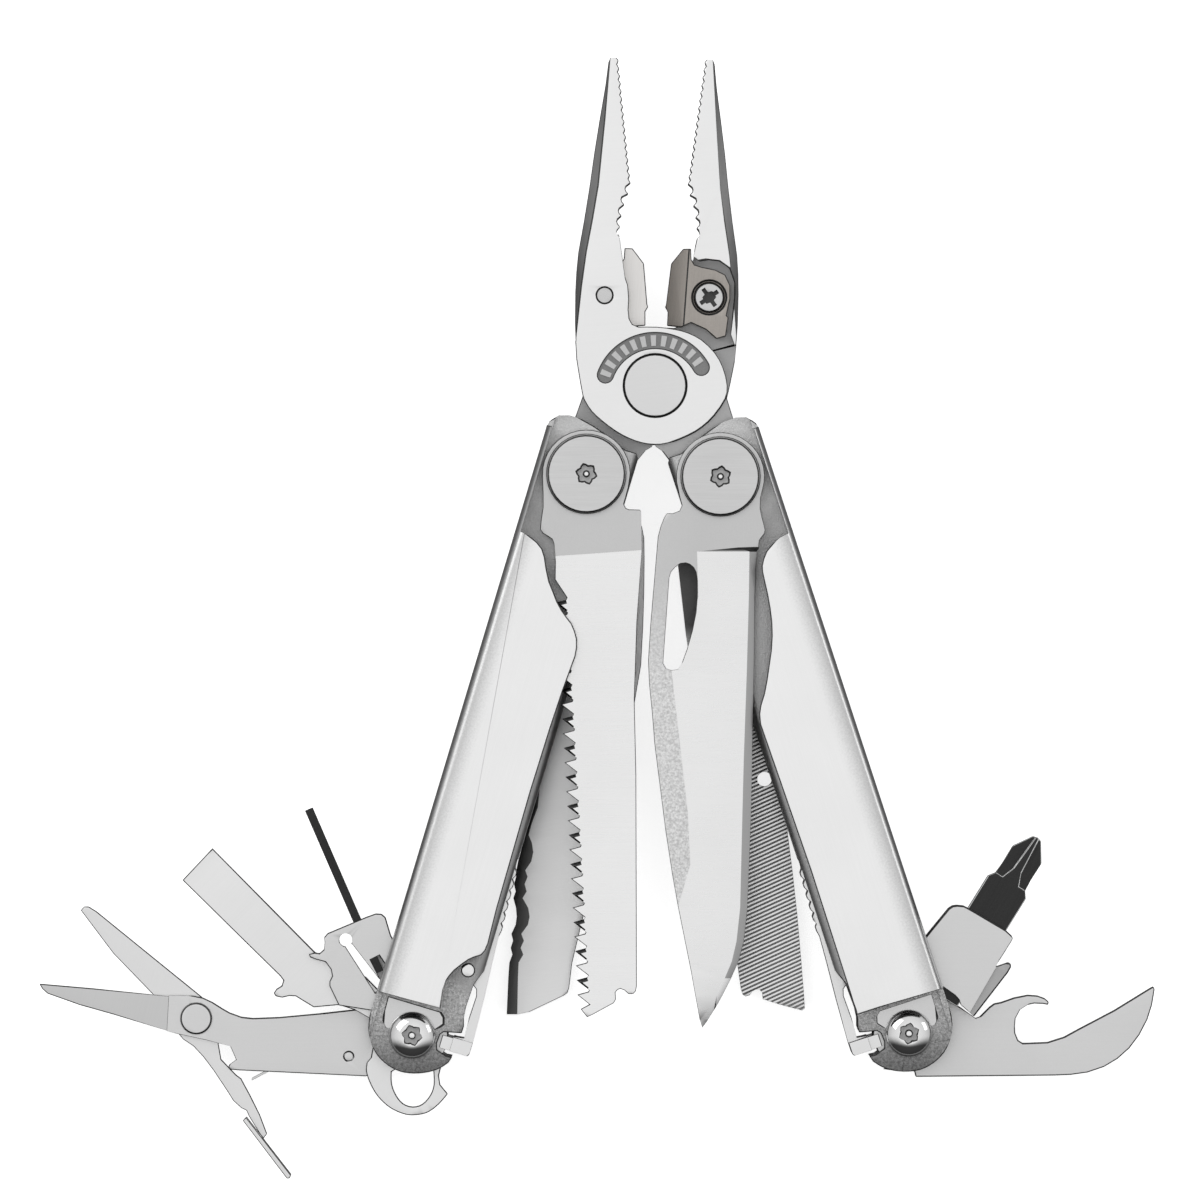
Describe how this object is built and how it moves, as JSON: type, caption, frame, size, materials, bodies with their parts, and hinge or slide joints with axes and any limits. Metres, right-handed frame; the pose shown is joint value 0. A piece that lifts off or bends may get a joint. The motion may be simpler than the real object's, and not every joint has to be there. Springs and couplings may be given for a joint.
{
  "type": "multi tool",
  "caption": "Folding plier multi tool opened out: needle-nose pliers, splayed folded-sheet handles, outside blades, saw and file, and small tools fanned from the handle ends.",
  "frame": {"origin": "centre of the opened tool's outline, at the level of the handles' back panels that it lies on", "axes": "+X to the right and +Y towards the pliers' tips in the view of the front, +Z out of the front, along every pivot"},
  "size_m": [0.1674, 0.168, 0.0178],
  "materials": {
    "satin_steel": "fine satin sheet, softly bead-blasted at the folded ends",
    "forged_steel": "satin forging with ground noses",
    "blade_steel": "ground blade steel with fine grind lines",
    "file_steel": "cross-cut and single-cut file teeth",
    "tool_steel": "satin stamped plate",
    "cutter_steel": "brown hardened cutter steel",
    "bright_screw": "polished domed screw",
    "disc_screw": "turned satin disc screw",
    "spring_steel": "plain spring steel",
    "black_oxide": "black oxide"
  },
  "bodies": {
    "front_jaw": {"jaw_front": "forged_steel", "pliers_rivet": "forged_steel", "cutter_insert_back": "cutter_steel", "cutter_screw_back": "cutter_steel"},
    "back_jaw": {"jaw_back": "forged_steel", "cutter_insert_front": "cutter_steel", "cutter_screw_front": "cutter_steel"},
    "left_handle": {"handle_left": "satin_steel", "head_barrel_left": "tool_steel", "head_screw_left_front": "disc_screw", "head_screw_left_back": "disc_screw", "tool_barrel_left": "tool_steel", "tool_screw_left_front": "bright_screw", "tool_screw_left_back": "bright_screw", "lock_pin_left": "tool_steel", "lock_spring_left": "spring_steel"},
    "right_handle": {"handle_right": "satin_steel", "head_barrel_right": "tool_steel", "head_screw_right_front": "disc_screw", "head_screw_right_back": "disc_screw", "tool_barrel_right": "tool_steel", "tool_screw_right_front": "bright_screw", "tool_screw_right_back": "bright_screw", "lock_pin_right": "tool_steel", "lock_spring_right": "spring_steel"},
    "saw_blade": {"saw": "blade_steel"},
    "serrated_blade": {"serrated_knife": "blade_steel"},
    "knife_blade": {"knife": "blade_steel"},
    "file_blade": {"file": "file_steel"},
    "scissors": {"scissors_body": "tool_steel", "scissors_rivet": "tool_steel", "scissors_spring": "spring_steel", "spring_pin": "spring_steel"},
    "scissors_moving": {"scissors_blade": "tool_steel"},
    "flat_driver": {"flat_screwdriver": "tool_steel"},
    "small_driver": {"small_bit_driver": "tool_steel"},
    "small_bit_held": {"small_bit": "black_oxide"},
    "lanyard_loop": {"lanyard_ring": "tool_steel"},
    "large_driver": {"large_bit_driver": "tool_steel", "bit_spring": "spring_steel"},
    "phillips_bit_held": {"phillips_bit": "black_oxide"},
    "opener": {"can_opener": "tool_steel"},
    "left_lock": {"lock_lever_left": "tool_steel"},
    "right_lock": {"lock_lever_right": "tool_steel"}
  },
  "joints": [
    {"name": "jaw_pivot", "type": "hinge", "parent": "front_jaw", "child": "back_jaw", "pos_m": [0.00868, 0.03485, 0.0089], "axis": [0, 0, 1], "range_deg": [-14, 1]},
    {"name": "left_handle_fold", "type": "hinge", "parent": "back_jaw", "child": "left_handle", "pos_m": [-0.00161, 0.0216, 0.0089], "axis": [0, 0, -1], "range_deg": [0, 164]},
    {"name": "right_handle_fold", "type": "hinge", "parent": "front_jaw", "child": "right_handle", "pos_m": [0.01843, 0.0212, 0.0089], "axis": [0, 0, 1], "range_deg": [0, 162]},
    {"name": "saw_fold", "type": "hinge", "parent": "left_handle", "child": "saw_blade", "pos_m": [-0.00161, 0.0216, 0.0089], "axis": [0, 0, 1], "range_deg": [-16.5, 1]},
    {"name": "serrated_knife_fold", "type": "hinge", "parent": "left_handle", "child": "serrated_blade", "pos_m": [-0.00161, 0.0216, 0.0089], "axis": [0, 0, 1], "range_deg": [-12.5, 12]},
    {"name": "knife_fold", "type": "hinge", "parent": "right_handle", "child": "knife_blade", "pos_m": [0.01843, 0.0212, 0.0089], "axis": [0, 0, -1], "range_deg": [-18, 1]},
    {"name": "file_fold", "type": "hinge", "parent": "right_handle", "child": "file_blade", "pos_m": [0.01843, 0.0212, 0.0089], "axis": [0, 0, -1], "range_deg": [-9, 12]},
    {"name": "scissors_fold", "type": "hinge", "parent": "left_handle", "child": "scissors", "pos_m": [-0.02768, -0.06235, 0.0089], "axis": [0, 0, 1], "range_deg": [-91, 80]},
    {"name": "flat_screwdriver_fold", "type": "hinge", "parent": "left_handle", "child": "flat_driver", "pos_m": [-0.02768, -0.06235, 0.0089], "axis": [0, 0, 1], "range_deg": [-66, 111]},
    {"name": "small_bit_driver_fold", "type": "hinge", "parent": "left_handle", "child": "small_driver", "pos_m": [-0.02768, -0.06235, 0.0089], "axis": [0, 0, 1], "range_deg": [-40, 139]},
    {"name": "lanyard_ring_fold", "type": "hinge", "parent": "left_handle", "child": "lanyard_loop", "pos_m": [-0.02768, -0.06235, 0.0089], "axis": [0, 0, 1], "range_deg": [-190, 5]},
    {"name": "large_bit_driver_fold", "type": "hinge", "parent": "right_handle", "child": "large_driver", "pos_m": [0.04663, -0.06206, 0.0089], "axis": [0, 0, -1], "range_deg": [-36, 128]},
    {"name": "can_opener_fold", "type": "hinge", "parent": "right_handle", "child": "opener", "pos_m": [0.04663, -0.06206, 0.0089], "axis": [0, 0, -1], "range_deg": [-92, 75]},
    {"name": "scissors_squeeze", "type": "hinge", "parent": "scissors", "child": "scissors_moving", "pos_m": [-0.06018, -0.06005, 0.0089], "axis": [0, 0, 1], "range_deg": [0, 14], "stiffness_Nm_per_rad": 0.05, "springref_deg": -20.05, "deforming": ["scissors_spring"]},
    {"name": "left_lock_press", "type": "hinge", "parent": "left_handle", "child": "left_lock", "pos_m": [-0.0193, -0.05265, 0.0089], "axis": [0, 0, 1], "range_deg": [0, 5], "stiffness_Nm_per_rad": 0.5, "springref_deg": -2.86, "deforming": ["lock_spring_left"]},
    {"name": "right_lock_press", "type": "hinge", "parent": "right_handle", "child": "right_lock", "pos_m": [0.03801, -0.05257, 0.0089], "axis": [0, 0, -1], "range_deg": [0, 5], "stiffness_Nm_per_rad": 0.5, "springref_deg": -2.86, "deforming": ["lock_spring_right"]},
    {"name": "small_bit_pull", "type": "slide", "parent": "small_driver", "child": "small_bit_held", "axis": [-0.3985, 0.9172, 0], "range_m": [0, 0.012]},
    {"name": "phillips_bit_pull", "type": "slide", "parent": "large_driver", "child": "phillips_bit_held", "axis": [0.5281, 0.8492, 0], "range_m": [0, 0.014]}
  ]
}
